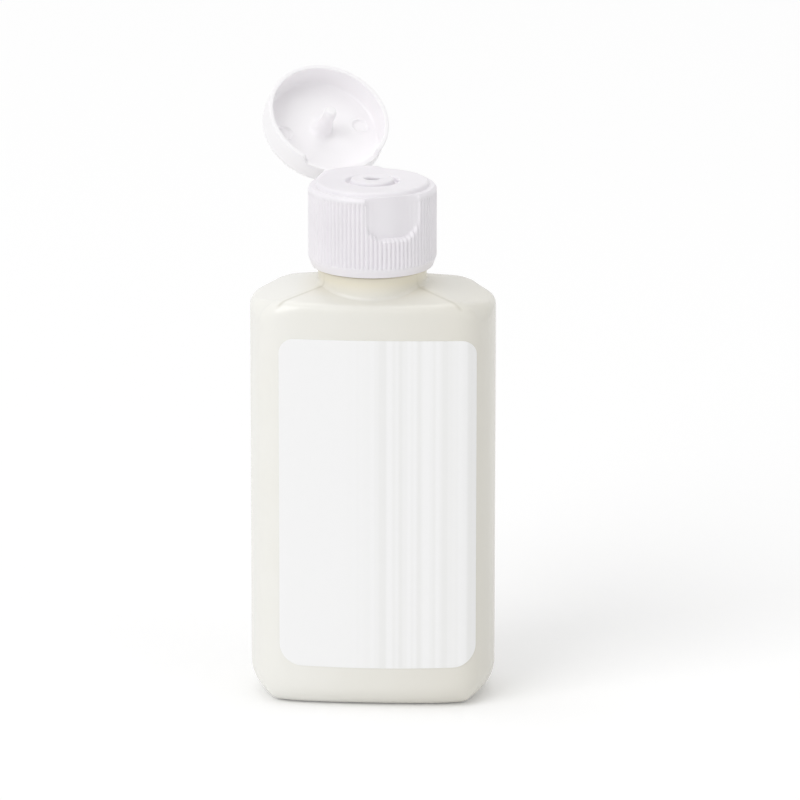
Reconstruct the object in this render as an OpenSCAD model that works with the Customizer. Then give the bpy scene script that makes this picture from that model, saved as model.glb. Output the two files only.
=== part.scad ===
// Small rectangular hand sanitizer bottle with a ribbed screw cap and an open hinged lid.
// Millimetres. +Z is up, the front faces -Y, and the origin is the middle of the foot on the ground.

/* [Body] */
// Outside width of the body, left to right
body_w = 44.5; // [38:0.5:52]
// Outside depth of the body, front to back
body_d = 24.6; // [23:0.5:32]
// Radius of the four upright corners
corner_r = 6.5; // [5:0.5:9]
// Radius round the foot, where the walls turn under
foot_r = 4; // [2:0.5:4.5]
// Height at which the two narrow sides start to round over
side_top = 71.15; // [60:0.5:85]
// Height by which the two wide faces stay upright longer than the sides
face_rise = 1.85; // [1:0.1:3]
// Radius of the rounding above the narrow sides
side_edge_r = 2.5; // [1:0.25:3]
// Radius of the rounding above the wide faces
face_edge_r = 2; // [1:0.25:2.5]
// Slope of the side facets of the shoulder, in degrees
side_slope = 17; // [14:1:22]
// Slope of the front and back facets of the shoulder, in degrees
face_slope = 20; // [16:1:24]
// Wall thickness of the body
wall = 1.2; // [0.8:0.1:1.5]
// Depth of the hollow pushed up into the foot
push_up = 1; // [0.5:0.1:1.5]
// Width of the ring the bottle stands on, measured from the end of the foot radius
stand_w = 1.6; // [1:0.1:2.5]

/* [Neck] */
// Radius of the plain collar that shows under the cap
collar_r = 9.75; // [9.2:0.05:10]
// Height of the collar above the shoulder at the bottle's sides
collar_h = 2.4; // [1.5:0.1:4]
// How far the shoulder flares out round the foot of the collar
flare = 1.9; // [0.5:0.1:2.2]
// Outside radius of the neck inside the cap
neck_r = 8.8; // [8.3:0.05:9]
// Radius of the neck's bore
bore_r = 7.3; // [6.5:0.1:7.5]

/* [Contents] */
// Depth of the clear space left between the gel and the top of the neck
headspace = 16.5; // [14:0.5:24]
// Gap between the gel and the walls
gel_gap = 0.05; // [0.02:0.01:0.2]

/* [Label] */
// Width of the front label
label_w = 35.2; // [26:0.2:36]
// Height of the front label
label_h = 60.6; // [40:0.2:62]
// Height of the label's lower edge above the ground
label_z = 7.9; // [6:0.1:12]
// How far the label sits to the right of the middle
label_shift = 1.55; // [-2:0.05:2]
// Radius of the label's upper corners
label_top_r = 2.7; // [1:0.1:5]
// Radius of the label's lower corners
label_low_r = 4; // [1:0.1:6]
// Thickness of the label film
label_t = 0.12; // [0.08:0.02:0.3]

/* [Cap] */
// Outside radius of the cap at the tops of its ribs
cap_r = 11.5; // [11:0.1:13]
// Height of the cap from its lower edge to the ledge that the lid closes on
cap_h = 14.6; // [12:0.2:18]
// Gap between the collar's top and the cap's lower edge
cap_gap = 0.3; // [0.2:0.05:1]
// Clearance round the neck inside the cap
neck_clear = 0.8; // [0.5:0.05:0.9]
// Thickness of the cap's deck
deck_t = 1.4; // [1:0.1:2]
// Gap between the neck's top and the underside of the deck
neck_gap = 0.3; // [0.2:0.05:1]
// Number of grip ribs round the cap
rib_count = 88; // [60:1:96]
// Depth of the grooves between the ribs
rib_depth = 0.22; // [0.1:0.02:0.4]
// Height of the plain band under the ribs
band_h = 1.5; // [0.8:0.1:3]
// Turn of the cap on the bottle, in degrees to the right
cap_turn = 27; // [-180:1:180]

/* [Deck] */
// Radius of the raised middle of the deck
plateau_r = 10.05; // [9.2:0.05:10.1]
// Height of the raised middle above the ledge
plateau_h = 0.8; // [0.4:0.1:1.4]
// Outside radius of the ring-shaped dip round the nozzle
moat_r = 4.8; // [4.2:0.1:6]
// Depth of the dip
moat_depth = 0.7; // [0.3:0.1:1]
// Radius of the round nozzle land
land_r = 3.3; // [2.8:0.1:3.8]
// Radius of the hole that the gel comes out of
hole_r = 1.6; // [1.4:0.1:2]
// Height of the hinge land above the ledge
hinge_land_h = 0.5; // [0.2:0.1:0.6]
// Distance of the thumb recess's flat back from the cap's middle
thumb_face = 10.22; // [10.1:0.02:10.6]
// Height of the thumb recess below the ledge
thumb_h = 7.6; // [5:0.2:9]

/* [Lid] */
// Angle by which the lid stands open, in degrees
open_angle = 137; // [90:1:150]
// Outside radius of the lid
lid_r = 11.25; // [10.95:0.05:11.4]
// Thickness of the lid's skirt
skirt_t = 0.8; // [0.7:0.05:0.85]
// Height of the lid from its rim to its top
lid_h = 5.8; // [5.2:0.1:8]
// Depth of the lid inside, from its rim
lid_depth = 4.5; // [3.8:0.1:4.8]
// Radius of the rounding round the lid's top
lid_edge_r = 1.5; // [0.5:0.1:2]
// Gap between the closed lid's rim and the ledge
rim_gap = 0.15; // [0.1:0.05:0.3]
// Height of the notch cut in the skirt at the hinge
notch_h = 1.3; // [1:0.1:2]
// Half angle of the notch, in degrees
notch_half = 43; // [35:1:50]
// Distance of the hinge line from the cap's middle
hinge_r = 11.4; // [11.35:0.05:11.6]
// Height of the hinge line above the ledge
hinge_z = 0.5; // [0.4:0.05:0.8]
// Width of the hinge web
web_w = 9; // [6:0.5:11]
// Thickness of the hinge web
web_t = 0.4; // [0.3:0.05:0.5]
// Radius of the sealing spud at its root
spud_r = 1.3; // [1:0.05:1.35]
// Length of the sealing spud below the lid's ceiling
spud_l = 6.1; // [5:0.1:6.4]
// Distance of the two round ejector marks from the lid's middle
mark_x = 7.35; // [5:0.05:8]
// Radius of the ejector marks
mark_r = 1.4; // [0.8:0.1:1.8]

/* [Hidden] */
$fn = 96;
eps = 0.01;
face_top = side_top + face_rise;
// The place where the side facet leaves the rounding above a narrow side
side_x = body_w / 2 - side_edge_r + side_edge_r * sin(side_slope);
side_z = side_top + side_edge_r * cos(side_slope);
// The place where the front facet leaves the rounding above a wide face
face_y = body_d / 2 - face_edge_r + face_edge_r * sin(face_slope);
face_z = face_top + face_edge_r * cos(face_slope);
// The height where the side facets reach the collar, and the levels that follow from it
shoulder_z = side_z + (side_x - collar_r) * tan(side_slope);
collar_top = shoulder_z + collar_h;
cap_z = collar_top + cap_gap;
ledge_z = cap_z + cap_h;
deck_under = ledge_z - deck_t;
neck_top = deck_under - neck_gap;
plateau_z = ledge_z + plateau_h;
cap_bore = neck_r + neck_clear;
hinge_level = ledge_z + hinge_z;
gel_top = neck_top - headspace;

// A box with rounded upright corners and a rounded foot, shrunk by an inset on every side.
module rounded_block(inset, low, high) {
    w = body_w / 2 - inset;
    d = body_d / 2 - inset;
    r = corner_r - inset;
    f = foot_r - inset;
    for (x = [-1, 1], y = [-1, 1]) translate([x * (w - r), y * (d - r), low]) {
        translate([0, 0, f]) cylinder(r = r, h = high - low - f);
        cylinder(r = r - f, h = f);
        translate([0, 0, f]) rotate_extrude() intersection() {
            translate([r - f, 0]) circle(r = f);
            translate([0, -f]) square([r, f]);
        }
    }
    translate([r - w, -d, low + f]) cube([2 * (w - r), 2 * d, high - low - f]);
    translate([r - w, f - d, low]) cube([2 * (w - r), 2 * (d - f), f]);
    translate([-w, r - d, low + f]) cube([2 * w, 2 * (d - r), high - low - f]);
    translate([f - w, r - d, low]) cube([2 * (w - f), 2 * (d - r), f]);
    for (y = [-1, 1]) translate([w - r, y * (d - f), low + f]) rotate([0, -90, 0])
        cylinder(r = f, h = 2 * (w - r));
    for (x = [-1, 1]) translate([x * (w - f), r - d, low + f]) rotate([-90, 0, 0]) rotate([0, 0, 90 + 90 * x])
        cylinder(r = f, h = 2 * (d - r));
}

// The space under the shoulder as seen from the front: sides, roundings and the two side facets.
module side_limit(inset) {
    r = side_edge_r - inset;
    cx = body_w / 2 - side_edge_r;
    arc = [for (i = [0 : 10]) let (a = i * (90 - side_slope) / 10) [cx + r * cos(a), side_top + r * sin(a)]];
    top_x = collar_r - 4;
    top_z = arc[10][1] + (arc[10][0] - top_x) * tan(side_slope);
    right = concat([[body_w, -1], [body_w, side_top - 4], [cx + r, side_top - 3]], arc, [[top_x, top_z]]);
    left = [for (i = [len(right) - 1 : -1 : 0]) [-right[i][0], right[i][1]]];
    translate([0, body_d, 0]) rotate([90, 0, 0]) linear_extrude(2 * body_d) polygon(concat(right, left));
}

// The space under the shoulder as seen from the side: faces, roundings and the front and back facets.
module face_limit(inset) {
    y = face_y - inset * sin(face_slope);
    z = face_z - inset * cos(face_slope);
    top_y = 3;
    top_z = z + (y - top_y) * tan(face_slope);
    d = body_d / 2 - inset;
    translate([-body_w, 0, 0]) rotate([90, 0, 90]) linear_extrude(2 * body_w)
        polygon([[-y, -1], [-y, z], [-top_y, top_z], [top_y, top_z], [y, z], [y, -1]]);
    translate([-body_w, -d - 1, -1]) cube([2 * body_w, 2 * d + 2, face_top + 1]);
    for (i = [-1, 1]) translate([-body_w, i * (body_d / 2 - face_edge_r), face_top]) rotate([0, 90, 0])
        cylinder(r = face_edge_r - inset, h = 2 * body_w);
}

// The body's form without its neck, shrunk by an inset.
module body_form(inset, low) {
    intersection() {
        rounded_block(inset, low, shoulder_z + 6);
        union() side_limit(inset);
        union() face_limit(inset);
    }
}

// The blow-moulded bottle: body, collar and neck in one piece, hollow right through.
module bottle() {
    color([0.88, 0.89, 0.85, 0.55]) difference() {
        union() {
            body_form(0, 0);
            translate([0, 0, shoulder_z - 2.2]) cylinder(r1 = collar_r + flare, r2 = collar_r, h = 2.4);
            translate([0, 0, face_top - 4]) cylinder(r = collar_r, h = collar_top - face_top + 4);
            translate([0, 0, collar_top - 1]) cylinder(r = neck_r, h = neck_top - collar_top + 1);
        }
        body_form(wall, push_up + wall);
        translate([0, 0, face_top - 5]) cylinder(r = bore_r, h = neck_top - face_top + 6);
        foot_hollow();
    }
}

// The shallow hollow under the foot that leaves a ring to stand on.
module foot_hollow() {
    w = body_w / 2 - foot_r - stand_w;
    d = body_d / 2 - foot_r - stand_w;
    r = 2.4;
    for (x = [-1, 1], y = [-1, 1]) translate([x * (w - r), y * (d - r), -1])
        cylinder(r = r, h = push_up + 1);
    translate([-w, r - d, -1]) cube([2 * w, 2 * (d - r), push_up + 1]);
    translate([r - w, -d, -1]) cube([2 * (w - r), 2 * d, push_up + 1]);
}

// The gel that fills the bottle up to the shoulder.
module gel() {
    color([0.90, 0.91, 0.88, 0.8]) intersection() {
        body_form(wall + gel_gap, push_up + wall + gel_gap);
        translate([-body_w, -body_d, 0]) cube([2 * body_w, 2 * body_d, gel_top]);
    }
}

// The front label, a film wrapped over the front face and a little way round its corners.
module front_label() {
    x0 = label_shift - label_w / 2;
    x1 = label_shift + label_w / 2;
    z1 = label_z + label_h;
    color([0.96, 0.96, 0.96]) intersection() {
        difference() {
            upright_skin(label_t);
            upright_skin(0);
        }
        union() {
            for (x = [x0 + label_low_r, x1 - label_low_r]) label_rod(x, label_z + label_low_r, label_low_r);
            for (x = [x0 + label_top_r, x1 - label_top_r]) label_rod(x, z1 - label_top_r, label_top_r);
            label_box(x0, x1, label_z + label_low_r, z1 - label_top_r);
            label_box(x0 + label_low_r, x1 - label_low_r, label_z, z1 - label_top_r);
            label_box(x0 + label_top_r, x1 - label_top_r, label_z + label_low_r, z1);
        }
    }
}

// The upright walls alone, grown by the film's thickness.
module upright_skin(grow) {
    w = body_w / 2;
    d = body_d / 2;
    r = corner_r;
    for (x = [-1, 1]) translate([x * (w - r), r - d, 0]) cylinder(r = r + grow, h = side_top);
    translate([r - w, -d - grow, 0]) cube([2 * (w - r), d, side_top]);
    translate([-w - grow, r - d, 0]) cube([2 * (w + grow), d - r, side_top]);
}

// A round bar from front to back that gives the label one rounded corner.
module label_rod(x, z, r) {
    translate([x, -1, z]) rotate([90, 0, 0]) cylinder(r = r, h = body_d);
}

// A bar from front to back that gives the label its straight parts.
module label_box(x0, x1, z0, z1) {
    translate([x0, -1 - body_d, z0]) cube([x1 - x0, body_d, z1 - z0]);
}

// The screw cap: ribbed skirt, deck with its raised middle and nozzle, thumb recess and plug seal.
module cap_base() {
    color([0.95, 0.95, 0.97]) rotate([0, 0, cap_turn]) difference() {
        union() {
            translate([0, 0, cap_z]) cylinder(r = cap_r, h = band_h);
            translate([0, 0, cap_z + band_h - eps]) linear_extrude(cap_h - band_h - 1) polygon(rib_outline());
            translate([0, 0, ledge_z - 1.1]) cylinder(r = cap_r, h = 0.6);
            translate([0, 0, ledge_z - 0.5]) cylinder(r1 = cap_r, r2 = cap_r - 0.35, h = 0.5);
            translate([0, 0, ledge_z - 1]) cylinder(r = plateau_r, h = plateau_h + 0.6);
            translate([0, 0, plateau_z - 0.4]) cylinder(r1 = plateau_r, r2 = plateau_r - 0.4, h = 0.4);
            hinge_land();
        }
        translate([0, 0, cap_z - 1]) cylinder(r = cap_bore, h = deck_under - cap_z + 1);
        translate([0, 0, plateau_z - moat_depth]) difference() {
            cylinder(r = moat_r, h = 2);
            translate([0, 0, -1]) cylinder(r = land_r, h = 4);
        }
        translate([0, 0, deck_under - 1]) cylinder(r = hole_r, h = 6);
        thumb_cut();
    }
    color([0.95, 0.95, 0.97]) rotate([0, 0, cap_turn]) seal_rings();
}

// The outline of the ribbed skirt: flat-topped ribs with sloping sides.
function rib_outline() = [for (i = [0 : rib_count - 1], p = [0 : 3])
    let (a = (i + [0, 0.3, 0.5, 0.8][p]) * 360 / rib_count, r = p < 2 ? cap_r - 0.06 : cap_r - rib_depth)
    [r * sin(a), -r * cos(a)]];

// The low land at the back of the deck that the hinge web joins.
module hinge_land() {
    translate([0, 0, ledge_z - 0.6]) rotate_extrude(angle = 2 * notch_half - 6, start = 93 - notch_half)
        translate([plateau_r - 0.6, 0]) square([hinge_r - 0.45 - plateau_r + 0.6, hinge_land_h + 0.6]);
}

// The flat-backed recess that lets a thumb push the lid up, with rounded lower corners.
module thumb_cut() {
    half = sqrt(cap_r * cap_r - thumb_face * thumb_face) + 0.6;
    r = 2.6;
    low = ledge_z - thumb_h;
    for (x = [-1, 1]) translate([x * (half - 0.6 - r), -thumb_face, low + r]) rotate([90, 0, 0])
        cylinder(r = r, h = 4);
    translate([r + 0.6 - half, -thumb_face - 4, low]) cube([2 * (half - 0.6 - r), 4, 3]);
    translate([-half, -thumb_face - 4, low + r]) cube([2 * half, 4, thumb_h + 3 - r]);
}

// The plug that seals the neck and the short tube under the nozzle.
module seal_rings() {
    translate([0, 0, deck_under - 3]) difference() {
        cylinder(r = bore_r - 0.3, h = 3 + eps);
        translate([0, 0, -1]) cylinder(r = bore_r - 1.1, h = 5);
    }
    translate([0, 0, deck_under - 1.6]) difference() {
        cylinder(r = hole_r + 0.9, h = 1.6 + eps);
        translate([0, 0, -1]) cylinder(r = hole_r, h = 5);
    }
}

// The hinged lid, standing open.
module lid() {
    color([0.95, 0.95, 0.97]) rotate([0, 0, cap_turn]) translate([0, hinge_r, hinge_level])
        rotate([-open_angle, 0, 0]) translate([0, -hinge_r, rim_gap - hinge_z]) closed_lid();
}

// The lid as it closes, with its rim at height zero.
module closed_lid() {
    difference() {
        union() {
            cylinder(r = lid_r, h = lid_h - lid_edge_r);
            cylinder(r = lid_r - lid_edge_r, h = lid_h);
            translate([0, 0, lid_h - lid_edge_r]) rotate_extrude()
                translate([lid_r - lid_edge_r, 0]) circle(r = lid_edge_r);
        }
        translate([0, 0, -1]) cylinder(r = lid_r - skirt_t, h = lid_depth + 1);
        for (x = [-1, 1]) translate([x * mark_x, 0, 0]) cylinder(r = mark_r, h = lid_depth + 0.15);
        translate([0, 0, -1]) rotate_extrude(angle = 2 * notch_half, start = 90 - notch_half)
            translate([lid_r - skirt_t - 1, 0]) square([4, notch_h + 1]);
    }
    translate([0, 0, lid_depth - spud_l + 1.2]) cylinder(r1 = spud_r - 0.15, r2 = spud_r, h = spud_l - 1.2 + eps);
    translate([0, 0, lid_depth - spud_l]) cylinder(r1 = spud_r - 0.6, r2 = spud_r - 0.15, h = 1.2);
    hinge_web();
}

// The thin web that joins the lid to the hinge line, with a bead on the line itself.
module hinge_web() {
    low = hinge_z - rim_gap;
    translate([-web_w / 2, hinge_r - web_t / 2, low]) cube([web_w, web_t, notch_h - low + 0.1]);
    translate([-web_w / 2, lid_r - skirt_t, notch_h]) cube([web_w, hinge_r + web_t / 2 - lid_r + skirt_t, 0.8]);
    translate([-web_w / 2, hinge_r, low]) rotate([0, 90, 0]) cylinder(r = web_t / 2 + 0.05, h = web_w);
}

bottle();
gel();
front_label();
cap_base();
lid();
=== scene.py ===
"""A small hand sanitizer bottle with a blank label, a ribbed screw cap and an open hinged lid."""

import logging
import math
from dataclasses import dataclass, field
from enum import Enum

import bmesh
import bpy
import numpy as np
from mathutils import Matrix, Vector


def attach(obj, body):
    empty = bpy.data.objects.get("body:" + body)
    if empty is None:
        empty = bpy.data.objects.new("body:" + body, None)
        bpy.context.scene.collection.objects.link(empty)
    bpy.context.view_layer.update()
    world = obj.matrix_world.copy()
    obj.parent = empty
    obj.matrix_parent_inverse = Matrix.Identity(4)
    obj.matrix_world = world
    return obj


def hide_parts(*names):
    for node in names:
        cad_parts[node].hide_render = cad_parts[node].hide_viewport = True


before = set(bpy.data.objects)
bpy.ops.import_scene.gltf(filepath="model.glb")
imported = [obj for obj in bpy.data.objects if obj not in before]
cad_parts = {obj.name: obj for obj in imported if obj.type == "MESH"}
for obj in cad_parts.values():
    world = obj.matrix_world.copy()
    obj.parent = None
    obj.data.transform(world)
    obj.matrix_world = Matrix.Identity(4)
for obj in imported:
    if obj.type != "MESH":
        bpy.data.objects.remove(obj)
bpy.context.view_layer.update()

MM = 0.001
log = logging.getLogger("sanitizer_bottle")


# Levels shared by the classes, in millimetres above the ground, as in the CAD source

@dataclass(frozen=True)
class Levels:
    """Heights of the main parts and the place of the hinge line, in millimetres."""

    shoulder: float = 76.822
    collar_top: float = 79.222
    cap_foot: float = 79.522
    deck_under: float = 92.722
    neck_top: float = 92.422
    ledge: float = 94.122
    plateau: float = 94.922
    hinge: float = 94.622
    hinge_out: float = 11.4
    cap_turn: float = 27.0
    lid_opening: float = 137.0
    rim_gap: float = 0.15

    def cap_matrix(self) -> Matrix:
        """Turn from the cap's own front to the place where it stands on the bottle."""
        return Matrix.Rotation(math.radians(self.cap_turn), 4, "Z")

    def lid_matrix(self) -> Matrix:
        """Place of the open lid, from the closed lid with its rim at height zero."""
        up = Matrix.Translation((0, self.hinge_out, self.hinge))
        swing = Matrix.Rotation(math.radians(-self.lid_opening), 4, "X")
        back = Matrix.Translation((0, -self.hinge_out, self.rim_gap - (self.hinge - self.ledge)))
        return self.cap_matrix() @ up @ swing @ back


LEVELS = Levels()


# Colours and nodes

def linear(code: str) -> tuple[float, float, float, float]:
    """Turn an sRGB hex colour into the linear values that a shader takes.

    Args:
        code: Six hex digits, with or without a leading mark.

    Returns:
        Red, green, blue and alpha, each from 0 to 1.
    """
    digits = code.lstrip("#")
    parts = [int(digits[i:i + 2], 16) / 255 for i in (0, 2, 4)]
    flat = [p / 12.92 if p <= 0.04045 else ((p + 0.055) / 1.055) ** 2.4 for p in parts]
    return (flat[0], flat[1], flat[2], 1.0)


def add_node(tree: bpy.types.NodeTree, kind: str, settings: dict | None = None,
             values: dict | None = None, links: dict | None = None) -> bpy.types.Node:
    """Add one node to a material or world.

    Args:
        tree: Node tree that gets the node.
        kind: Blender's name for the node type.
        settings: Attributes of the node by name.
        values: Constants for its input sockets, by name or number.
        links: Output sockets that feed its input sockets, by name or number.

    Returns:
        The new node.
    """
    node = tree.nodes.new(kind)
    for name, value in (settings or {}).items():
        setattr(node, name, value)
    for key, value in (values or {}).items():
        node.inputs[key].default_value = value
    for key, socket in (links or {}).items():
        tree.links.new(socket, node.inputs[key])
    return node


def new_material(name: str) -> tuple[bpy.types.Material, bpy.types.NodeTree]:
    """Make an empty material with nodes.

    Args:
        name: Name of the material.

    Returns:
        The material and its node tree.
    """
    material = bpy.data.materials.new(name)
    material.use_nodes = True
    material.node_tree.nodes.clear()
    return material, material.node_tree


@dataclass(frozen=True)
class ClearPetWall:
    """Stretch-blown clear polyester: a glossy, warm and hazy wall, with painted shade that darkens it from left to
    right and along its hips.

    The fall in tone from left to right is painted shade, as the light falls from the left, and the dark hips are
    painted shade; the warm neck stands for what light does in the clear plastic of the bottle.
    """

    name: str = "clear_polyester_blow_moulded"
    tint: str = "#FBFAF3"
    haze: str = "#FFFEF9"
    # Painted shade: the wall's colour runs towards this darker tone from left to right, as light falls from the left
    thick: str = "#E6E2D6"
    resin: str = "#F3ECD6"
    # Painted shade: a darker line along the four hips of the shoulder
    painted_hip_shade: str = "#C9C5B6"
    ior: float = 1.57
    roughness: float = 0.24
    cover: float = 0.91
    hips: tuple[float, float, float, float] = (0.0, 0.0, 0.0, 1.0)
    painted_shade_span: tuple[float, float] = (-16.0, 22.0)
    painted_shade_share: float = 0.75
    resin_span: tuple[float, float] = (75.5, 78.0)
    resin_share: float = 0.8
    painted_hip_shade_width: tuple[float, float] = (0.02, 0.2)
    painted_hip_shade_span: tuple[float, float] = (73.6, 74.4)
    painted_hip_shade_share: float = 0.45
    ripple_mm: float = 9.0
    ripple_height: float = 0.05

    def build(self) -> bpy.types.Material:
        """Material with slow ripples in the gloss, a faint uneven haze, painted shade from left to right and along the
        hips, and more resin towards the neck.
        """
        material, tree = new_material(self.name)
        place = add_node(tree, "ShaderNodeTexCoord")
        ripple = add_node(tree, "ShaderNodeTexNoise",
                          values={"Scale": 1 / (self.ripple_mm * MM), "Detail": 2.0, "Roughness": 0.4},
                          links={"Vector": place.outputs["Object"]})
        bump = add_node(tree, "ShaderNodeBump", values={"Strength": 0.3, "Distance": self.ripple_height * MM},
                        links={"Height": ripple.outputs["Fac"]})
        colour = add_node(tree, "ShaderNodeMix", settings={"data_type": "RGBA"},
                          values={6: linear(self.tint), 7: linear(self.haze)},
                          links={0: ripple.outputs["Fac"]})
        split = add_node(tree, "ShaderNodeSeparateXYZ", links={"Vector": place.outputs["Object"]})
        # Painted shade: darker towards the right, where less light falls
        side = add_node(tree, "ShaderNodeMapRange",
                        values={"From Min": self.painted_shade_span[0] * MM, "From Max": self.painted_shade_span[1] * MM,
                                "To Max": self.painted_shade_share},
                        links={"Value": split.outputs["X"]})
        wall = add_node(tree, "ShaderNodeMix", settings={"data_type": "RGBA"}, values={7: linear(self.thick)},
                        links={0: side.outputs["Result"], 6: colour.outputs[2]})
        # Painted shade along the four hips
        wall = self.paint_hip_shade(tree, split, wall)
        up = add_node(tree, "ShaderNodeMapRange",
                      values={"From Min": self.resin_span[0] * MM, "From Max": self.resin_span[1] * MM,
                              "To Max": self.resin_share},
                      links={"Value": split.outputs["Z"]})
        neck = add_node(tree, "ShaderNodeMix", settings={"data_type": "RGBA"}, values={7: linear(self.resin)},
                        links={0: up.outputs["Result"], 6: wall.outputs[2]})
        shader = add_node(tree, "ShaderNodeBsdfPrincipled",
                          values={"Roughness": self.roughness, "IOR": self.ior, "Alpha": self.cover,
                                  "Specular IOR Level": 0.5},
                          links={"Base Color": neck.outputs[2], "Normal": bump.outputs["Normal"]})
        add_node(tree, "ShaderNodeOutputMaterial", links={"Surface": shader.outputs["BSDF"]})
        return material

    def paint_hip_shade(self, tree: bpy.types.NodeTree, split: bpy.types.Node, wall: bpy.types.Node) -> bpy.types.Node:
        """Paint shade along the four hips of the shoulder, as a darker line of colour.

        Args:
            tree: Node tree of the material.
            split: Node that gives the place's parts.
            wall: Node that gives the wall's colour.

        Returns:
            The node that gives the new colour.
        """
        total = add_node(tree, "ShaderNodeMath", settings={"operation": "MULTIPLY"}, values={1: self.hips[2]},
                         links={0: split.outputs["Z"]})
        for part, rate in (("X", self.hips[0]), ("Y", self.hips[1])):
            size = add_node(tree, "ShaderNodeMath", settings={"operation": "ABSOLUTE"}, links={0: split.outputs[part]})
            total = add_node(tree, "ShaderNodeMath", settings={"operation": "MULTIPLY_ADD"}, values={1: rate},
                             links={0: size.outputs["Value"], 2: total.outputs["Value"]})
        off = add_node(tree, "ShaderNodeMath", settings={"operation": "SUBTRACT"}, values={1: self.hips[3] * MM},
                       links={0: total.outputs["Value"]})
        away = add_node(tree, "ShaderNodeMath", settings={"operation": "ABSOLUTE"}, links={0: off.outputs["Value"]})
        near = add_node(tree, "ShaderNodeMapRange",
                        values={"From Min": self.painted_hip_shade_width[0] * MM, "From Max": self.painted_hip_shade_width[1] * MM,
                                "To Min": self.painted_hip_shade_share, "To Max": 0.0},
                        links={"Value": away.outputs["Value"]})
        high = add_node(tree, "ShaderNodeMapRange",
                        values={"From Min": self.painted_hip_shade_span[0] * MM, "From Max": self.painted_hip_shade_span[1] * MM},
                        links={"Value": split.outputs["Z"]})
        share = add_node(tree, "ShaderNodeMath", settings={"operation": "MULTIPLY"},
                         links={0: near.outputs["Result"], 1: high.outputs["Result"]})
        return add_node(tree, "ShaderNodeMix", settings={"data_type": "RGBA"}, values={7: linear(self.painted_hip_shade)},
                        links={0: share.outputs["Value"], 6: wall.outputs[2]})


@dataclass(frozen=True)
class CloudyGel:
    """Carbomer gel: pale, cloudy and soft, with light that wanders inside it."""

    name: str = "cloudy_carbomer_gel"
    light: str = "#FBFBF6"
    dark: str = "#F5F5EE"
    cloud_mm: float = 14.0

    def build(self) -> bpy.types.Material:
        """Material with slow clouds of tone and light scattered under the surface."""
        material, tree = new_material(self.name)
        place = add_node(tree, "ShaderNodeTexCoord")
        cloud = add_node(tree, "ShaderNodeTexNoise",
                         values={"Scale": 1 / (self.cloud_mm * MM), "Detail": 2.0, "Roughness": 0.5},
                         links={"Vector": place.outputs["Object"]})
        colour = add_node(tree, "ShaderNodeMix", settings={"data_type": "RGBA"},
                          values={6: linear(self.dark), 7: linear(self.light)},
                          links={0: cloud.outputs["Fac"]})
        shader = add_node(tree, "ShaderNodeBsdfPrincipled",
                          values={"Roughness": 0.3, "IOR": 1.37, "Subsurface Weight": 0.6,
                                  "Subsurface Radius": (1.0, 1.0, 0.85), "Subsurface Scale": 4 * MM},
                          links={"Base Color": colour.outputs[2]})
        add_node(tree, "ShaderNodeOutputMaterial", links={"Surface": shader.outputs["BSDF"]})
        return material


@dataclass(frozen=True)
class LabelFilm:
    """White polypropylene film: satin, plain, with faint upright streaks where it was drawn over the wall."""

    name: str = "white_polypropylene_film"
    plain: str = "#FAFAFA"
    streak: str = "#F3F3F2"
    streak_mm: float = 1.6
    streak_from: float = -4.0

    def build(self) -> bpy.types.Material:
        """Material with upright streaks that fade in towards the label's right half."""
        material, tree = new_material(self.name)
        place = add_node(tree, "ShaderNodeTexCoord")
        stretch = add_node(tree, "ShaderNodeMapping",
                           values={"Scale": (1 / (self.streak_mm * MM), 1.0, 1.0)},
                           links={"Vector": place.outputs["Object"]})
        streaks = add_node(tree, "ShaderNodeTexNoise", values={"Scale": 1.0, "Detail": 1.0, "Roughness": 0.4},
                           links={"Vector": stretch.outputs["Vector"]})
        split = add_node(tree, "ShaderNodeSeparateXYZ", links={"Vector": place.outputs["Object"]})
        side = add_node(tree, "ShaderNodeMapRange",
                        values={"From Min": self.streak_from * MM, "From Max": (self.streak_from + 7) * MM},
                        links={"Value": split.outputs["X"]})
        sharper = add_node(tree, "ShaderNodeMapRange", values={"From Min": 0.42, "From Max": 0.6},
                           links={"Value": streaks.outputs["Fac"]})
        share = add_node(tree, "ShaderNodeMath", settings={"operation": "MULTIPLY"},
                         links={0: side.outputs["Result"], 1: sharper.outputs["Result"]})
        colour = add_node(tree, "ShaderNodeMix", settings={"data_type": "RGBA"},
                          values={6: linear(self.plain), 7: linear(self.streak)},
                          links={0: share.outputs["Value"]})
        shader = add_node(tree, "ShaderNodeBsdfPrincipled", values={"Roughness": 0.5, "IOR": 1.49},
                          links={"Base Color": colour.outputs[2]})
        add_node(tree, "ShaderNodeOutputMaterial", links={"Surface": shader.outputs["BSDF"]})
        return material


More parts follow.
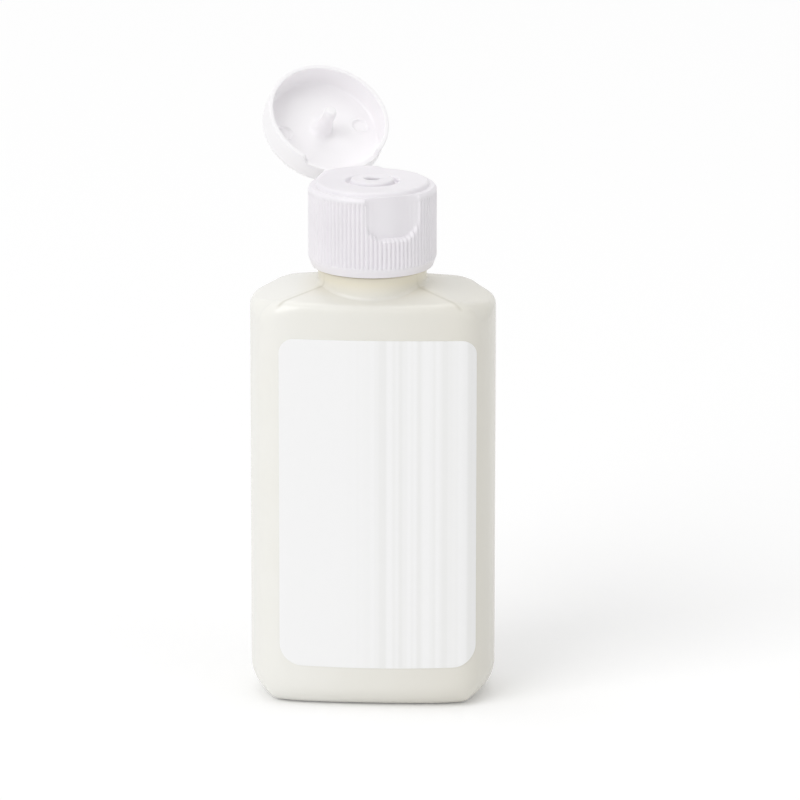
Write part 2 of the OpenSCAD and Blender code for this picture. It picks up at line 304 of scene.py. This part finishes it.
@dataclass(frozen=True)
class WhitePolypropylene:
    """Injection-moulded white polypropylene: soft gloss, fine mould texture, a little light under the skin."""

    name: str = "white_polypropylene_moulded"
    light: str = "#F5F2F6"
    dark: str = "#EEEBEF"
    roughness: float = 0.32
    grain_mm: float = 0.5
    flow_mm: float = 7.0
    glow: float = 0.25
    glow_mm: float = 0.6

    def build(self) -> bpy.types.Material:
        """Material with a fine mould grain in the bump and slow flow marks in its tone."""
        material, tree = new_material(self.name)
        place = add_node(tree, "ShaderNodeTexCoord")
        grain = add_node(tree, "ShaderNodeTexNoise",
                         values={"Scale": 1 / (self.grain_mm * MM), "Detail": 2.0},
                         links={"Vector": place.outputs["Object"]})
        flow = add_node(tree, "ShaderNodeTexNoise",
                        values={"Scale": 1 / (self.flow_mm * MM), "Detail": 1.0},
                        links={"Vector": place.outputs["Object"]})
        bump = add_node(tree, "ShaderNodeBump", values={"Strength": 0.12, "Distance": 0.02 * MM},
                        links={"Height": grain.outputs["Fac"]})
        colour = add_node(tree, "ShaderNodeMix", settings={"data_type": "RGBA"},
                          values={6: linear(self.dark), 7: linear(self.light)},
                          links={0: flow.outputs["Fac"]})
        shader = add_node(tree, "ShaderNodeBsdfPrincipled",
                          values={"Roughness": self.roughness, "IOR": 1.49, "Subsurface Weight": self.glow,
                                  "Subsurface Radius": (1.0, 1.0, 1.0), "Subsurface Scale": self.glow_mm * MM},
                          links={"Base Color": colour.outputs[2], "Normal": bump.outputs["Normal"]})
        add_node(tree, "ShaderNodeOutputMaterial", links={"Surface": shader.outputs["BSDF"]})
        return material


class Body(Enum):
    """CAD bodies that the pieces ride on."""

    BOTTLE = "bottle"
    CAP = "cap"
    LID = "lid"


# Mesh helpers

def finish_piece(bm: bmesh.types.BMesh, name: str, material: bpy.types.Material, body: Body, node: str,
                 crease: float) -> bpy.types.Object:
    """Turn a mesh in millimetres into a finished piece that rides on its body.

    Args:
        bm: Mesh in millimetres, in the shared frame. It is freed.
        name: Name of the piece.
        material: Finish of the piece.
        body: CAD body that it rides on.
        node: CAD node that it stands for.
        crease: Angle in degrees above which an edge stays sharp.

    Returns:
        The new object.
    """
    bmesh.ops.scale(bm, vec=(MM, MM, MM), verts=bm.verts)
    mesh = bpy.data.meshes.new(name)
    bm.to_mesh(mesh)
    bm.free()
    mesh.materials.append(material)
    mesh.shade_smooth()
    mesh.set_sharp_from_angle(angle=math.radians(crease))
    piece = bpy.data.objects.new(name, mesh)
    bpy.context.scene.collection.objects.link(piece)
    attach(piece, body.value)
    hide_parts(node)
    log.info("%s: %d faces on %s", name, len(mesh.polygons), body.value)
    return piece


def rounded_path(corners: list[tuple[float, float, float]], steps: int = 4,
                 longest: float = 99.0) -> list[tuple[float, float]]:
    """Round the corners of a profile and cut its long runs into short ones.

    Args:
        corners: Radius, height and rounding of each corner, in millimetres.
        steps: Segments of each rounding.
        longest: Longest run that is left whole.

    Returns:
        Points of the profile as radius and height.
    """
    points: list[Vector] = []
    count = len(corners)
    for i, (x, y, r) in enumerate(corners):
        here = Vector((x, y))
        if r <= 0 or i in (0, count - 1):
            points.append(here)
            continue
        back = Vector(corners[i - 1][:2]) - here
        on = Vector(corners[i + 1][:2]) - here
        half = back.angle(on) / 2
        reach = min(r / math.tan(half), back.length * 0.49, on.length * 0.49)
        radius = reach * math.tan(half)
        start, end = here + back.normalized() * reach, here + on.normalized() * reach
        centre = here + (back.normalized() + on.normalized()).normalized() * (radius / math.sin(half))
        for k in range(steps + 1):
            blend = start.lerp(end, k / steps) - centre
            points.append(centre + blend.normalized() * radius)
    fine = [points[0]]
    for a, b in zip(points, points[1:]):
        parts = max(1, math.ceil((b - a).length / longest))
        fine += [a.lerp(b, k / parts) for k in range(1, parts + 1)]
    return [(p.x, p.y) for p in fine]


def revolve(path: list[tuple[float, float]], columns: int) -> bmesh.types.BMesh:
    """Spin a profile once round the upright axis, starting at the front.

    Args:
        path: Points of the profile as radius and height.
        columns: Number of columns round the axis.

    Returns:
        A mesh of the turned surface.
    """
    bm = bmesh.new()
    verts = [bm.verts.new((0, -r, z)) for r, z in path]
    edges = [bm.edges.new(pair) for pair in zip(verts, verts[1:])]
    bmesh.ops.spin(bm, geom=verts + edges, cent=(0, 0, 0), axis=(0, 0, 1), dvec=(0, 0, 0),
                   angle=2 * math.pi, steps=columns, use_merge=True)
    bmesh.ops.remove_doubles(bm, verts=bm.verts, dist=1e-4)
    bmesh.ops.recalc_face_normals(bm, faces=bm.faces)
    return bm


def join(bm: bmesh.types.BMesh, other: bmesh.types.BMesh) -> None:
    """Add another mesh to a mesh, and free the other one.

    Args:
        bm: Mesh that grows.
        other: Mesh that is added.
    """
    carrier = bpy.data.meshes.new("carrier")
    other.to_mesh(carrier)
    other.free()
    bm.from_mesh(carrier)
    bpy.data.meshes.remove(carrier)


def smooth_step(value: float) -> float:
    """Ease a value from 0 to 1."""
    t = min(1.0, max(0.0, value))
    return t * t * (3 - 2 * t)


def meet(a: np.ndarray, b: np.ndarray, radius: float | np.ndarray) -> np.ndarray:
    """Distance to the common part of two forms whose shared edge is rounded.

    Args:
        a: Distances to the first form.
        b: Distances to the second form.
        radius: Radius of the rounded edge.

    Returns:
        Distances to the common part, negative inside.
    """
    corner = np.hypot(np.maximum(a + radius, 0), np.maximum(b + radius, 0))
    return np.minimum(np.maximum(a, b), -radius) + corner


@dataclass
class BottleForm:
    """The blown form of the body: crowned faces, bulging sides and four sloping facets."""

    width: float = 44.1
    depth: float = 24.6
    centre: float = 0.12
    bulge: float = 20.0
    crown: float = 160.0
    crease: float = 2.0
    foot: float = 4.0
    foot_side: float = 6.0
    side_slope: float = 14.0
    face_slope: float = 18.5
    side_point: tuple[float, float] = (20.481, 73.85)
    face_point: tuple[float, float] = (10.984, 74.879)
    hip_round: float = 0.5
    edge_round: float = 1.2
    corner_round: float = 3.2
    wall: float = 1.2
    push_up: float = 1.0
    core: float = 9.0
    core_top: float = 66.0
    box_top: float = 80.0

    def distance(self, points: np.ndarray, inset: float = 0.0, low: float = 0.0) -> np.ndarray:
        """Rough distance of points from the form.

        Args:
            points: Places in millimetres, one a row.
            inset: How far the form is shrunk.
            low: Height of its foot.

        Returns:
            Distances, negative inside.
        """
        x, y, z = np.abs(points[:, 0] - self.centre), np.abs(points[:, 1]), points[:, 2]
        side = np.hypot(np.maximum(x - self.width / 2 + self.bulge, 0), y) - self.bulge + inset
        face = y - (self.depth / 2 - x * x / (2 * self.crown)) + inset
        walls = meet(side, face, self.crease)
        ends = np.clip((x - 11) / 9, 0, 1)
        block = meet(walls, low - z, self.foot - inset + (self.foot_side - self.foot) * ends * ends)
        a, b = math.radians(self.side_slope), math.radians(self.face_slope)
        side_top = (x - self.side_point[0]) * math.sin(a) + (z - self.side_point[1]) * math.cos(a) + inset
        face_top = (y - self.face_point[0]) * math.sin(b) + (z - self.face_point[1]) * math.cos(b) + inset
        roof = meet(side_top, face_top, self.hip_round)
        share = np.clip((x - 12) / 7, 0, 1) * np.clip((y - 3) / 6, 0, 1)
        share = share * share * (3 - 2 * share)
        return meet(block, roof, self.edge_round + (self.corner_round - self.edge_round) * share)

    def hip_plane(self) -> tuple[float, float, float, float]:
        """Plane that holds each hip between a side facet and a face facet, as its three parts and its level."""
        a, b = math.radians(self.side_slope), math.radians(self.face_slope)
        return (math.sin(a), -math.sin(b), math.cos(a) - math.cos(b),
                self.side_point[0] * math.sin(a) + self.side_point[1] * math.cos(a)
                - self.face_point[0] * math.sin(b) - self.face_point[1] * math.cos(b))

    def surface(self, starts: np.ndarray, ends: np.ndarray, inset: float = 0.0, low: float = 0.0) -> np.ndarray:
        """Places where lines from inside the form leave it.

        Args:
            starts: Places inside the form.
            ends: Places outside it, or near its skin.
            inset: How far the form is shrunk.
            low: Height of its foot.

        Returns:
            The places on the skin.
        """
        run = (ends - starts) * 1.6
        near, far = np.zeros(len(starts)), np.ones(len(starts))
        for _ in range(26):
            middle = (near + far) / 2
            inside = self.distance(starts + run * middle[:, None], inset, low) < 0
            near, far = np.where(inside, middle, near), np.where(inside, far, middle)
        return starts + run * near[:, None]

    def skin(self, inset: float, low: float, cuts: tuple[int, int, int]) -> bmesh.types.BMesh:
        """Draw a finely cut box on to the form.

        Args:
            inset: How far the form is shrunk.
            low: Height of its foot.
            cuts: Cuts along the width, the depth and the height.

        Returns:
            A mesh of the skin.
        """
        size = (self.width - 2 * inset, self.depth - 2 * inset, self.box_top - low)
        bm = bmesh.new()
        bmesh.ops.create_cube(bm, size=1.0)
        bmesh.ops.scale(bm, vec=size, verts=bm.verts)
        bmesh.ops.translate(bm, vec=(0, 0, (self.box_top + low) / 2), verts=bm.verts)
        for axis, cut in enumerate(cuts):
            edges = [e for e in bm.edges if abs(e.verts[0].co[axis] - e.verts[1].co[axis]) > 0.01]
            bmesh.ops.subdivide_edges(bm, edges=edges, cuts=cut, use_grid_fill=True)
        ends = np.array([v.co for v in bm.verts])
        reach = np.array([self.width / 2 - self.core, self.depth / 2 - self.core])
        starts = ends.copy()
        starts[:, :2] = np.clip(ends[:, :2], -reach, reach)
        starts[:, 2] = np.clip(ends[:, 2], low + self.core, self.core_top)
        for vert, place in zip(bm.verts, self.surface(starts, ends, inset, low)):
            vert.co = place
        bmesh.ops.recalc_face_normals(bm, faces=bm.faces)
        return bm

    def height_at(self, x: np.ndarray, y: np.ndarray) -> np.ndarray:
        """Height of the shoulder's skin above places given by x and y."""
        starts = np.stack([x, y, np.full_like(x, self.core_top)], axis=1)
        ends = np.stack([x, y, np.full_like(x, 82.0)], axis=1)
        return self.surface(starts, ends)[:, 2]

    def front_at(self, x: np.ndarray, z: np.ndarray) -> np.ndarray:
        """Depth of the front face's skin at places given by x and z."""
        starts = np.stack([x, np.zeros_like(x), z], axis=1)
        ends = np.stack([x, np.full_like(x, -14.0), z], axis=1)
        return self.surface(starts, ends)[:, 1]


@dataclass
class BlownBottle:
    """The bottle: blown body, collar and plain neck as one wall, and the gel inside."""

    form: BottleForm = field(default_factory=BottleForm)
    collar: float = 9.75
    neck: float = 8.8
    bore: float = 7.3
    flare: float = 0.7
    gel_gap: float = 0.05
    gel_top: float = 75.922
    stand: tuple[float, float] = (14.6, 6.2)

    def build(self, wall: bpy.types.Material, gel: bpy.types.Material) -> list[bpy.types.Object]:
        """Build the shell and the gel.

        Args:
            wall: Finish of the shell.
            gel: Finish of the gel.

        Returns:
            The new pieces.
        """
        return [self.shell(wall), self.contents(gel)]

    def shell(self, finish: bpy.types.Material) -> bpy.types.Object:
        """Body, collar and neck as one piece with a wall of even thickness."""
        bm = self.form.skin(0.0, 0.0, (72, 44, 110))
        self.push_foot(bm)
        self.open_neck(bm, self.collar)
        inner = self.form.skin(self.form.wall, self.form.push_up + self.form.wall, (36, 22, 60))
        self.open_neck(inner, self.bore)
        bmesh.ops.reverse_faces(inner, faces=inner.faces)
        join(bm, inner)
        self.add_neck(bm)
        return finish_piece(bm, "bottle_shell", finish, Body.BOTTLE, "bottle", 60)

    def push_foot(self, bm: bmesh.types.BMesh) -> None:
        """Press the shallow hollow into the foot.

        Args:
            bm: Mesh of the outer skin.
        """
        for v in bm.verts:
            if v.co.z < 0.05:
                edge = max(abs(v.co.x) - self.stand[0], abs(v.co.y) - self.stand[1])
                v.co.z = self.form.push_up * smooth_step(-edge / 1.2)

    def open_neck(self, bm: bmesh.types.BMesh, radius: float) -> None:
        """Cut the round opening for the neck out of the top of a skin.

        Args:
            bm: Mesh of the skin.
            radius: Radius of the opening.
        """
        gone = [v for v in bm.verts if v.co.z > 70 and math.hypot(v.co.x, v.co.y) < radius]
        bmesh.ops.delete(bm, geom=gone, context="VERTS")

    def add_neck(self, bm: bmesh.types.BMesh) -> None:
        """Add the collar with its flared root, the neck and its bore.

        Args:
            bm: Mesh that gets the neck.
        """
        low, top = LEVELS.shoulder, LEVELS.neck_top
        path = [(self.collar + self.flare * (1 - math.sin(math.radians(d))), 0.0) for d in range(0, 91, 15)]
        wall = rounded_path([(self.collar, low + 1.9, 0), (self.collar, LEVELS.collar_top, 0.3),
                             (self.neck, LEVELS.collar_top, 0.2), (self.neck, top, 0.4),
                             (self.bore, top, 0.3), (self.bore, low - 2.2, 0)], 3)
        neck = revolve(path + wall, 128)
        # The root's rows follow the shoulder and curve up into the collar
        rows = [v for v in neck.verts if v.co.z < 1.0]
        x = np.array([v.co.x for v in rows])
        y = np.array([v.co.y for v in rows])
        heights = self.form.height_at(x, y)
        for v, height in zip(rows, heights):
            out = (math.hypot(v.co.x, v.co.y) - self.collar) / self.flare
            lift = self.flare * (1 - math.sqrt(max(0.0, 1 - (1 - min(out, 1.0)) ** 2)))
            v.co.z = height + lift - 0.03
        join(bm, neck)

    def contents(self, finish: bpy.types.Material) -> bpy.types.Object:
        """The gel, cut level at its top."""
        inset = self.form.wall + self.gel_gap
        bm = self.form.skin(inset, self.form.push_up + inset, (36, 22, 60))
        cut = bmesh.ops.bisect_plane(bm, geom=bm.verts[:] + bm.edges[:] + bm.faces[:],
                                     plane_co=(0, 0, self.gel_top), plane_no=(0, 0, 1), clear_outer=True)
        rim = [e for e in cut["geom_cut"] if isinstance(e, bmesh.types.BMEdge)]
        bmesh.ops.edgeloop_fill(bm, edges=rim)
        bmesh.ops.recalc_face_normals(bm, faces=bm.faces)
        return finish_piece(bm, "gel_fill", finish, Body.BOTTLE, "gel", 50)


@dataclass
class FrontLabel:
    """The blank film on the front face, wrapped a little way round its right-hand corner."""

    form: BottleForm = field(default_factory=BottleForm)
    width: float = 35.2
    height: float = 60.6
    low: float = 7.9
    shift: float = 1.55
    top_corner: float = 2.7
    low_corner: float = 4.0
    bow: float = 0.3
    bow_rise: float = 8.0
    thick: float = 0.12
    strips: int = 72

    def build(self, finish: bpy.types.Material) -> list[bpy.types.Object]:
        """Build the film as a thin sheet that follows the wall.

        Args:
            finish: Finish of the film.

        Returns:
            The new piece.
        """
        bm = bmesh.new()
        sheet = bmesh.ops.create_grid(bm, x_segments=1, y_segments=1, size=0.5)["verts"]
        bmesh.ops.scale(bm, vec=(self.width, self.height, 1), verts=sheet)
        for upper, radius in ((True, self.top_corner), (False, self.low_corner)):
            corners = [v for v in bm.verts if (v.co.y > 0) == upper and abs(v.co.y) > self.height / 2 - 0.01
                       and abs(v.co.x) > self.width / 2 - 0.01]
            bmesh.ops.bevel(bm, geom=corners, offset=radius, offset_type="OFFSET", segments=10, profile=0.5,
                            affect="VERTICES", material=-1)
        for i in range(1, self.strips):
            x = -self.width / 2 + self.width * i / self.strips
            bmesh.ops.bisect_plane(bm, geom=bm.verts[:] + bm.edges[:] + bm.faces[:], plane_co=(x, 0, 0),
                                   plane_no=(1, 0, 0))
        x = np.array([v.co.x + self.shift for v in bm.verts])
        z = np.array([v.co.y + self.low + self.height / 2 for v in bm.verts])
        foot = np.clip((self.low + self.bow_rise - z) / self.bow_rise, 0, 1)
        z = z + foot * self.bow * (((x - self.shift) / (self.width / 2)) ** 2 - 1)
        depth = self.form.front_at(x, z)
        for v, px, py, pz in zip(bm.verts, x, depth, z):
            v.co = (px, py - 0.01, pz)
        bmesh.ops.recalc_face_normals(bm, faces=bm.faces)
        if sum(f.normal.y * f.calc_area() for f in bm.faces) > 0:
            bmesh.ops.reverse_faces(bm, faces=bm.faces)
        bmesh.ops.solidify(bm, geom=bm.faces[:], thickness=-self.thick)
        bmesh.ops.recalc_face_normals(bm, faces=bm.faces)
        return [finish_piece(bm, "label_film", finish, Body.BOTTLE, "front_label", 40)]


@dataclass
class ScrewCap:
    """The cap: ribbed skirt with a plain band, deck with its raised middle and nozzle, and thumb recess."""

    radius: float = 11.5
    bore: float = 9.6
    band: float = 1.5
    ribs: int = 88
    groove: float = 0.3
    plateau: float = 10.05
    moat: float = 4.8
    moat_depth: float = 0.7
    land: float = 3.85
    hole: float = 1.3
    thumb_back: float = 10.25
    thumb_half: float = 5.3
    thumb_low: float = 7.9
    thumb_corner: float = 3.6
    thumb_turn: float = -3.5
    thumb_soft: float = 0.45
    scoop: float = 1.05
    scoop_power: float = 3.5
    hinge_land: float = 0.82
    hinge_half: float = 44.0
    hinge_fade: float = 18.0

    def profile(self) -> list[tuple[float, float]]:
        """Closed section of the cap, from its foot up the wall, over the deck and back inside."""
        foot, ledge, top, under = LEVELS.cap_foot, LEVELS.ledge, LEVELS.plateau, LEVELS.deck_under
        r, low = self.radius, top - self.moat_depth
        seen = rounded_path([
            (self.bore, foot, 0), (r - 0.65, foot, 0.3), (r, foot + self.band + 0.3, 0.4), (r, ledge - 0.5, 0.3),
            (r - 0.35, ledge, 0.15), (self.plateau + 0.15, ledge, 0.15), (self.plateau - 0.1, top, 0.6),
            (self.moat, top, 0.35), (self.moat - 0.2, low, 0.3), (self.land + 0.15, low, 0.3),
            (self.land, top + 0.3, 0.4), (self.hole + 0.3, top + 0.45, 0.5), (self.hole, top + 0.1, 0.3),
            (self.hole, top - 0.8, 0),
        ], 4, 0.3)
        hidden = [(1.6, under, 0), (1.6, under - 1.6, 0), (2.5, under - 1.6, 0), (2.5, under, 0), (6.2, under, 0),
                  (6.2, under - 3, 0), (7.0, under - 3, 0), (7.0, under, 0), (self.bore, under, 0),
                  (self.bore, foot, 0)]
        return seen + rounded_path(hidden)

    def build(self, finish: bpy.types.Material) -> list[bpy.types.Object]:
        """Build the cap as one moulding.

        Args:
            finish: Finish of the cap.

        Returns:
            The new piece.
        """
        bm = revolve(self.profile(), self.ribs * 6)
        rib_low, rib_top = LEVELS.cap_foot + self.band, LEVELS.ledge - 0.85
        for v in bm.verts:
            out = math.hypot(v.co.x, v.co.y)
            if out < self.plateau - 0.75 or v.co.z < LEVELS.cap_foot + 0.6:
                continue
            angle = math.atan2(v.co.x, -v.co.y)
            if out > self.radius - 0.5 and rib_low - 0.01 < v.co.z < rib_top:
                phase = (angle / (2 * math.pi) * self.ribs) % 1.0
                wave = (0.5 - 0.5 * math.cos(2 * math.pi * phase)) ** 2
                ends = smooth_step((v.co.z - rib_low) / 0.4) * smooth_step((rib_top - v.co.z) / 0.3)
                out -= self.groove * wave * ends
            if math.cos(angle) > 0.5:
                out = self.thumb(out, angle - math.radians(self.thumb_turn), v.co.z)
            behind = math.degrees(math.pi - abs(angle))
            rise = smooth_step((self.hinge_half - behind) / self.hinge_fade)
            if rise > 0 and v.co.z > LEVELS.ledge - 0.3:
                level = LEVELS.ledge + self.hinge_land - 0.25 * smooth_step((out - self.radius + 0.45) / 0.25)
                v.co.z += max(0.0, level - v.co.z) * rise
            v.co.x, v.co.y = out * math.sin(angle), -out * math.cos(angle)
        bmesh.ops.transform(bm, matrix=LEVELS.cap_matrix(), verts=bm.verts)
        return [finish_piece(bm, "screw_cap", finish, Body.CAP, "cap_base", 50)]

    def thumb(self, out: float, angle: float, z: float) -> float:
        """Radius of the wall where the scooped thumb recess is pressed into it.

        Args:
            out: Radius without the recess.
            angle: Angle from the recess's middle in radians.
            z: Height above the ground.

        Returns:
            The new radius.
        """
        low = LEVELS.ledge - self.thumb_low
        x = out * math.sin(angle)
        dx, dz = abs(x) - (self.thumb_half - self.thumb_corner), (low + self.thumb_corner) - z
        beyond = math.hypot(max(dx, 0), max(dz, 0)) - self.thumb_corner
        scoop = self.thumb_back + self.scoop * min(1.0, abs(x) / self.thumb_half) ** self.scoop_power
        if out <= scoop:
            return out
        return out + (scoop - out) * smooth_step(-beyond / self.thumb_soft)


@dataclass
class HingedLid:
    """The lid: skirt with a rounded top, flat ceiling with its spud and two ejector marks, and hinge web."""

    radius: float = 11.25
    skirt: float = 0.8
    height: float = 5.8
    ceiling: float = 4.5
    edge: float = 1.5
    spud: float = 1.15
    spud_foot: float = 1.75
    spud_length: float = 6.1
    mark_out: float = 7.35
    mark: float = 1.4
    mark_depth: float = 0.2
    mark_lip: float = 0.12
    notch: float = 1.3
    notch_half: float = 43.0
    notch_fade: float = 6.0
    web: float = 9.0
    web_thick: float = 0.4

    def profile(self) -> list[tuple[float, float]]:
        """Section of the closed lid, from the spud's tip over the ceiling and skirt to the middle of its top."""
        inner, tip = self.radius - self.skirt, self.ceiling - self.spud_length
        return rounded_path([
            (0, tip, 0), (self.spud - 0.3, tip, 0.25), (self.spud, tip + 0.8, 0.3),
            (self.spud, tip + 3.0, 0.8), (self.spud_foot, self.ceiling, 1.0), (inner, self.ceiling, 0.6),
            (inner, 0, 0.15), (self.radius, 0, 0.15), (self.radius, self.height, self.edge), (0, self.height, 0),
        ], 5, 0.3)

    def build(self, finish: bpy.types.Material) -> list[bpy.types.Object]:
        """Build the lid and its hinge web as they stand open.

        Args:
            finish: Finish of the lid.

        Returns:
            The new pieces.
        """
        bm = revolve(self.profile(), 288)
        for v in bm.verts:
            out, angle = math.hypot(v.co.x, v.co.y), math.degrees(math.atan2(abs(v.co.x), v.co.y))
            if out > self.radius - self.skirt - 0.3 and v.co.z < self.notch:
                share = smooth_step((self.notch_half - angle) / self.notch_fade)
                v.co.z = max(v.co.z, v.co.z + (self.notch - v.co.z) * share)
            if abs(v.co.z - self.ceiling) < 0.02:
                away = min(math.hypot(v.co.x - self.mark_out, v.co.y), math.hypot(v.co.x + self.mark_out, v.co.y))
                lip = math.exp(-(((away - self.mark - 0.1) / 0.16) ** 2))
                v.co.z += self.mark_depth * smooth_step((self.mark - away) / self.mark_depth) - self.mark_lip * lip
        bmesh.ops.transform(bm, matrix=LEVELS.lid_matrix(), verts=bm.verts)
        lid = finish_piece(bm, "flip_lid", finish, Body.LID, "lid", 50)
        return [lid, self.strap(finish)]

    def strap(self, finish: bpy.types.Material) -> bpy.types.Object:
        """The living hinge: a thin web from the lid's skirt to the hinge line."""
        bm = bmesh.new()
        low = LEVELS.hinge - LEVELS.ledge - LEVELS.rim_gap
        made = bmesh.ops.create_cube(bm, size=1.0)["verts"]
        bmesh.ops.scale(bm, vec=(self.web, self.web_thick, self.notch - low + 0.5), verts=made)
        bmesh.ops.translate(bm, vec=(0, LEVELS.hinge_out, (self.notch + low + 0.5) / 2), verts=made)
        bmesh.ops.bevel(bm, geom=bm.edges[:], offset=0.12, segments=3, profile=0.5, affect="EDGES", material=-1)
        bmesh.ops.transform(bm, matrix=LEVELS.lid_matrix(), verts=bm.verts)
        return finish_piece(bm, "hinge_web", finish, Body.LID, "lid", 50)


@dataclass
class Studio:
    """Pale floor, white surround, soft lamps and the camera at the photograph's place."""

    aim: tuple[float, float, float] = (0.0, 0.0, 0.048)
    distance: float = 1.3
    elevation: float = 15.43
    azimuth: float = 3.4
    lens: float = 324.7
    shift: tuple[float, float] = (0.0345, 0.042)
    surround: float = 0.56
    floor_glow: float = 0.11

    def build(self) -> None:
        """Make the floor, the world, the lamps and the camera."""
        self.floor()
        self.world()
        self.lamp("key", (-3.5, -4.2, 4.4), 4.4, 158.0)
        self.lamp("fill", (5.4, -3.6, 3.0), 4.8, 22.0)
        self.lamp("top", (0.0, 0.8, 6.0), 4.8, 80.0)
        self.camera()

    def floor(self) -> None:
        """Pale floor that shows white round the object and keeps its shadow."""
        bm = bmesh.new()
        bmesh.ops.create_grid(bm, x_segments=1, y_segments=1, size=3.0)
        mesh = bpy.data.meshes.new("floor")
        bm.to_mesh(mesh)
        bm.free()
        material, tree = new_material("matt_white_paper")
        seen = self.white_rays(tree)
        strength = add_node(tree, "ShaderNodeMath", settings={"operation": "MULTIPLY"},
                            values={1: self.floor_glow}, links={0: seen.outputs["Value"]})
        glow = add_node(tree, "ShaderNodeEmission", links={"Strength": strength.outputs["Value"]})
        paper = add_node(tree, "ShaderNodeBsdfDiffuse", values={"Color": linear("#FAFAFA")})
        both = add_node(tree, "ShaderNodeAddShader", links={0: paper.outputs["BSDF"], 1: glow.outputs["Emission"]})
        add_node(tree, "ShaderNodeOutputMaterial", links={"Surface": both.outputs["Shader"]})
        mesh.materials.append(material)
        floor = bpy.data.objects.new("floor", mesh)
        bpy.context.scene.collection.objects.link(floor)

    def white_rays(self, tree: bpy.types.NodeTree) -> bpy.types.Node:
        """Add the nodes that pick the rays to which the surround is plain white.

        Args:
            tree: Node tree that gets them.

        Returns:
            The node that gives 1 for camera, gloss and clear rays.
        """
        ray = add_node(tree, "ShaderNodeLightPath")
        clear = add_node(tree, "ShaderNodeMath", settings={"operation": "MAXIMUM"},
                         links={0: ray.outputs["Is Camera Ray"], 1: ray.outputs["Is Transmission Ray"]})
        return add_node(tree, "ShaderNodeMath", settings={"operation": "MAXIMUM"},
                        links={0: clear.outputs["Value"], 1: ray.outputs["Is Glossy Ray"]})

    def world(self) -> None:
        """Even pale light all round, shown as white to the camera and in gloss and clear plastic."""
        world = bpy.data.worlds.new("soft_surround")
        world.use_nodes = True
        tree = world.node_tree
        tree.nodes.clear()
        seen = self.white_rays(tree)
        strength = add_node(tree, "ShaderNodeMapRange", values={"To Min": self.surround, "To Max": 1.0},
                            links={"Value": seen.outputs["Value"]})
        light = add_node(tree, "ShaderNodeBackground", values={"Color": (1, 1, 1, 1)},
                         links={"Strength": strength.outputs["Result"]})
        add_node(tree, "ShaderNodeOutputWorld", links={"Surface": light.outputs["Background"]})
        bpy.context.scene.world = world

    def lamp(self, name: str, place: tuple[float, float, float], size: float, power: float) -> None:
        """Add one soft lamp aimed at the object.

        Args:
            name: Name of the lamp.
            place: Where it stands, in metres.
            size: Length of its square side, in metres.
            power: Power in watts.
        """
        data = bpy.data.lights.new(name, "AREA")
        data.size, data.energy = size, power
        lamp = bpy.data.objects.new(name, data)
        lamp.location = place
        lamp.rotation_euler = (Vector(self.aim) - Vector(place)).to_track_quat("-Z", "Y").to_euler()
        bpy.context.scene.collection.objects.link(lamp)

    def camera(self) -> None:
        """Set the camera at the photograph's viewing angle."""
        a, e = math.radians(self.azimuth), math.radians(self.elevation)
        away = Vector((math.sin(a) * math.cos(e), -math.cos(a) * math.cos(e), math.sin(e)))
        data = bpy.data.cameras.new("camera")
        data.lens, data.sensor_width = self.lens, 36.0
        data.shift_x, data.shift_y = self.shift
        data.clip_end = 20
        camera = bpy.data.objects.new("camera", data)
        camera.location = Vector(self.aim) + away * self.distance
        camera.rotation_euler = (-away).to_track_quat("-Z", "Y").to_euler()
        bpy.context.scene.collection.objects.link(camera)
        bpy.context.scene.camera = camera
        bpy.context.scene.view_settings.view_transform = "Standard"


def main() -> None:
    """Build the studio and the pieces in order, and report each."""
    logging.basicConfig(level=logging.INFO, format="%(name)s: %(message)s")
    Studio().build()
    wall, gel = ClearPetWall(hips=BottleForm().hip_plane()).build(), CloudyGel().build()
    white, film = WhitePolypropylene().build(), LabelFilm().build()
    # The lid's copy of the white polypropylene has paler colours than the cap's: painted light, as the open lid stands
    # in more light; its stronger glow is the thin wall's own translucency
    thin_painted_lighter = WhitePolypropylene(name="white_polypropylene_thin_wall_painted_lighter", light="#FEFBFE", dark="#FAF7FA", glow=0.55,
                              glow_mm=0.9).build()
    form = BottleForm()
    pieces = BlownBottle(form).build(wall, gel)
    pieces += FrontLabel(form).build(film)
    pieces += ScrewCap().build(white)
    pieces += HingedLid().build(thin_painted_lighter)
    log.info("%d pieces", len(pieces))


if __name__ == "__main__":
    main()
